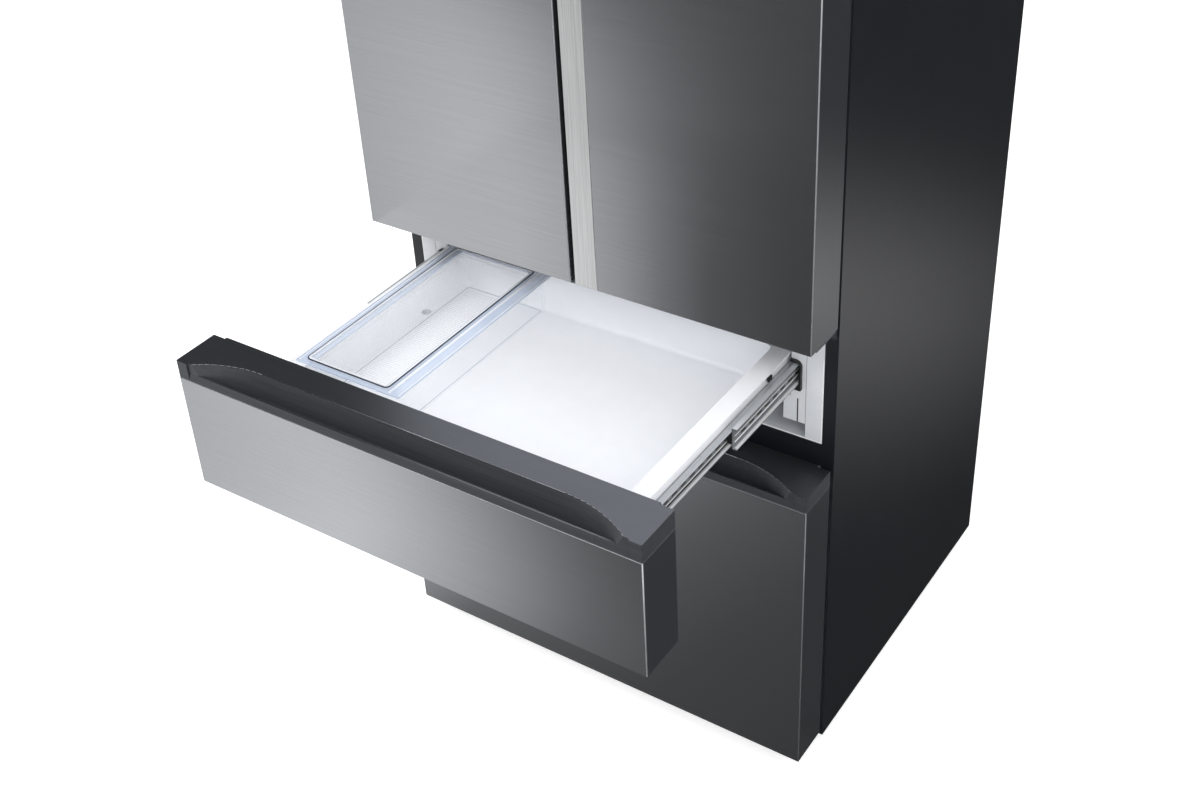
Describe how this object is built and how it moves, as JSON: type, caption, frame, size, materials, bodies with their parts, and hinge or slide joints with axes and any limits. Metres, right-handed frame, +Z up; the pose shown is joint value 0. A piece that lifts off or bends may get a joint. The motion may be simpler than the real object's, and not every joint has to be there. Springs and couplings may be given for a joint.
{
  "type": "bottom freezer refrigerator",
  "caption": "Free-standing refrigerator with hinged upper doors over a wide pull-out drawer and a deep lower freezer drawer, all with scooped handle edges.",
  "frame": {"origin": "on the floor, in the middle of the width and halfway between the front of the pulled-out middle drawer and the back of the cabinet", "axes": "+X to the right seen from the front, +Y from the front to the back, +Z up"},
  "size_m": [0.817, 1.198, 1.815],
  "materials": {
    "charcoal_steel": "satin",
    "galvanised_steel": "satin",
    "brushed_front": "satin",
    "silver_strip": "satin",
    "charcoal_cap": "satin",
    "charcoal_plastic": "matte",
    "white_plastic": "satin",
    "grey_plastic": "matte",
    "clear_plastic": "gloss",
    "clear_lid": "gloss",
    "insulation_foam": "matte",
    "gasket_rubber": "matte",
    "foot_rubber": "matte",
    "zinc_steel": "satin",
    "hinge_steel": "satin",
    "shelf_glass": "gloss",
    "fin_aluminium": "satin",
    "black_enamel": "gloss"
  },
  "bodies": {
    "cabinet": {"cabinet_shell": "charcoal_steel", "base_pan": "galvanised_steel", "back_panel": "galvanised_steel", "machine_cover": "charcoal_plastic", "cabinet_foam": "insulation_foam", "fridge_liner": "white_plastic", "middle_liner": "white_plastic", "lower_liner": "white_plastic", "crossbeams": "charcoal_steel", "top_hinges": "hinge_steel", "hinge_covers": "charcoal_plastic", "middle_hinges": "hinge_steel", "cabinet_rails": "zinc_steel", "glass_shelves": "shelf_glass", "crisper_drawers": "clear_plastic", "air_duct": "white_plastic", "evaporator": "fin_aluminium", "evaporator_cover": "white_plastic", "condenser": "fin_aluminium", "compressor": "black_enamel", "drain_pan": "grey_plastic"},
    "left_door": {"left_door_skin": "brushed_front", "left_door_foam": "insulation_foam", "left_door_liner": "white_plastic", "left_door_gasket": "gasket_rubber", "left_door_caps": "charcoal_plastic", "left_door_bins": "clear_plastic"},
    "flap": {"mullion_flap": "grey_plastic"},
    "right_door": {"right_door_skin": "brushed_front", "right_door_foam": "insulation_foam", "right_door_liner": "white_plastic", "right_door_gasket": "gasket_rubber", "right_door_caps": "charcoal_plastic", "right_door_bins": "clear_plastic", "centre_trim": "silver_strip"},
    "middle_drawer": {"middle_front_panel": "brushed_front", "middle_handle_cap": "charcoal_cap", "middle_front_foam": "insulation_foam", "middle_inner_panel": "white_plastic", "middle_gasket": "gasket_rubber", "middle_bin": "white_plastic", "middle_drawer_rails": "zinc_steel"},
    "middle_slides": {"middle_slide_members": "zinc_steel"},
    "box": {"sealed_box": "clear_plastic"},
    "box_lid": {"sealed_box_lid": "clear_lid"},
    "lower_drawer": {"lower_front_panel": "brushed_front", "lower_handle_cap": "charcoal_cap", "lower_front_foam": "insulation_foam", "lower_inner_panel": "white_plastic", "lower_gasket": "gasket_rubber", "lower_bin": "white_plastic", "lower_drawer_rails": "zinc_steel"},
    "lower_slides": {"lower_slide_members": "zinc_steel"},
    "tray": {"lower_tray": "white_plastic"},
    "evaporator_blower": {"evaporator_fan": "charcoal_plastic"},
    "condenser_blower": {"condenser_fan": "charcoal_plastic"},
    "foot_left": {"levelling_foot_left": "foot_rubber"},
    "foot_right": {"levelling_foot_right": "foot_rubber"},
    "roller_left": {"rear_roller_left": "grey_plastic"},
    "roller_right": {"rear_roller_right": "grey_plastic"}
  },
  "joints": [
    {"name": "right_door_hinge", "type": "hinge", "parent": "cabinet", "child": "right_door", "pos_m": [0.388, -0.101, 0.88], "axis": [0, 0, 1], "range_deg": [0, 120]},
    {"name": "left_door_hinge", "type": "hinge", "parent": "cabinet", "child": "left_door", "pos_m": [-0.388, -0.101, 0.88], "axis": [0, 0, -1], "range_deg": [0, 120]},
    {"name": "flap_hinge", "type": "hinge", "parent": "left_door", "child": "flap", "pos_m": [-0.032, -0.0467, 0.932], "axis": [0, 0, -1], "range_deg": [0, 90]},
    {"name": "middle_drawer_slide", "type": "slide", "parent": "cabinet", "child": "middle_drawer", "axis": [0, 1, 0], "range_m": [0, 0.453]},
    {"name": "middle_member_slide", "type": "slide", "parent": "cabinet", "child": "middle_slides", "axis": [0, 1, 0], "range_m": [0, 0.2265]},
    {"name": "box_slide", "type": "slide", "parent": "middle_drawer", "child": "box", "axis": [1, 0, 0], "range_m": [0, 0.41]},
    {"name": "box_lid_lift", "type": "slide", "parent": "box", "child": "box_lid", "axis": [0, 0, 1], "range_m": [0, 0.02]},
    {"name": "lower_drawer_slide", "type": "slide", "parent": "cabinet", "child": "lower_drawer", "axis": [0, -1, 0], "range_m": [0, 0.45]},
    {"name": "lower_member_slide", "type": "slide", "parent": "cabinet", "child": "lower_slides", "axis": [0, -1, 0], "range_m": [0, 0.225]},
    {"name": "tray_slide", "type": "slide", "parent": "lower_drawer", "child": "tray", "axis": [0, 1, 0], "range_m": [0, 0.075]},
    {"name": "evaporator_fan_spin", "type": "hinge", "parent": "cabinet", "child": "evaporator_blower", "pos_m": [0, 0.4735, 0.542], "axis": [0, 1, 0], "continuous": true},
    {"name": "condenser_fan_spin", "type": "hinge", "parent": "cabinet", "child": "condenser_blower", "pos_m": [-0.11, 0.5, 0.1415], "axis": [1, 0, 0], "continuous": true},
    {"name": "foot_screw_left", "type": "hinge", "parent": "cabinet", "child": "foot_left", "pos_m": [-0.3745, -0.028, 0.02], "axis": [0, 0, 1], "continuous": true},
    {"name": "roller_spin_left", "type": "hinge", "parent": "cabinet", "child": "roller_left", "pos_m": [-0.3385, 0.539, 0.015], "axis": [1, 0, 0], "continuous": true},
    {"name": "foot_screw_right", "type": "hinge", "parent": "cabinet", "child": "foot_right", "pos_m": [0.3745, -0.028, 0.02], "axis": [0, 0, 1], "continuous": true},
    {"name": "roller_spin_right", "type": "hinge", "parent": "cabinet", "child": "roller_right", "pos_m": [0.3385, 0.539, 0.015], "axis": [1, 0, 0], "continuous": true}
  ],
  "couplings": [
    {"joint": "middle_member_slide", "follows": "middle_drawer_slide", "ratio": 0.5},
    {"joint": "lower_member_slide", "follows": "lower_drawer_slide", "ratio": 0.5}
  ]
}
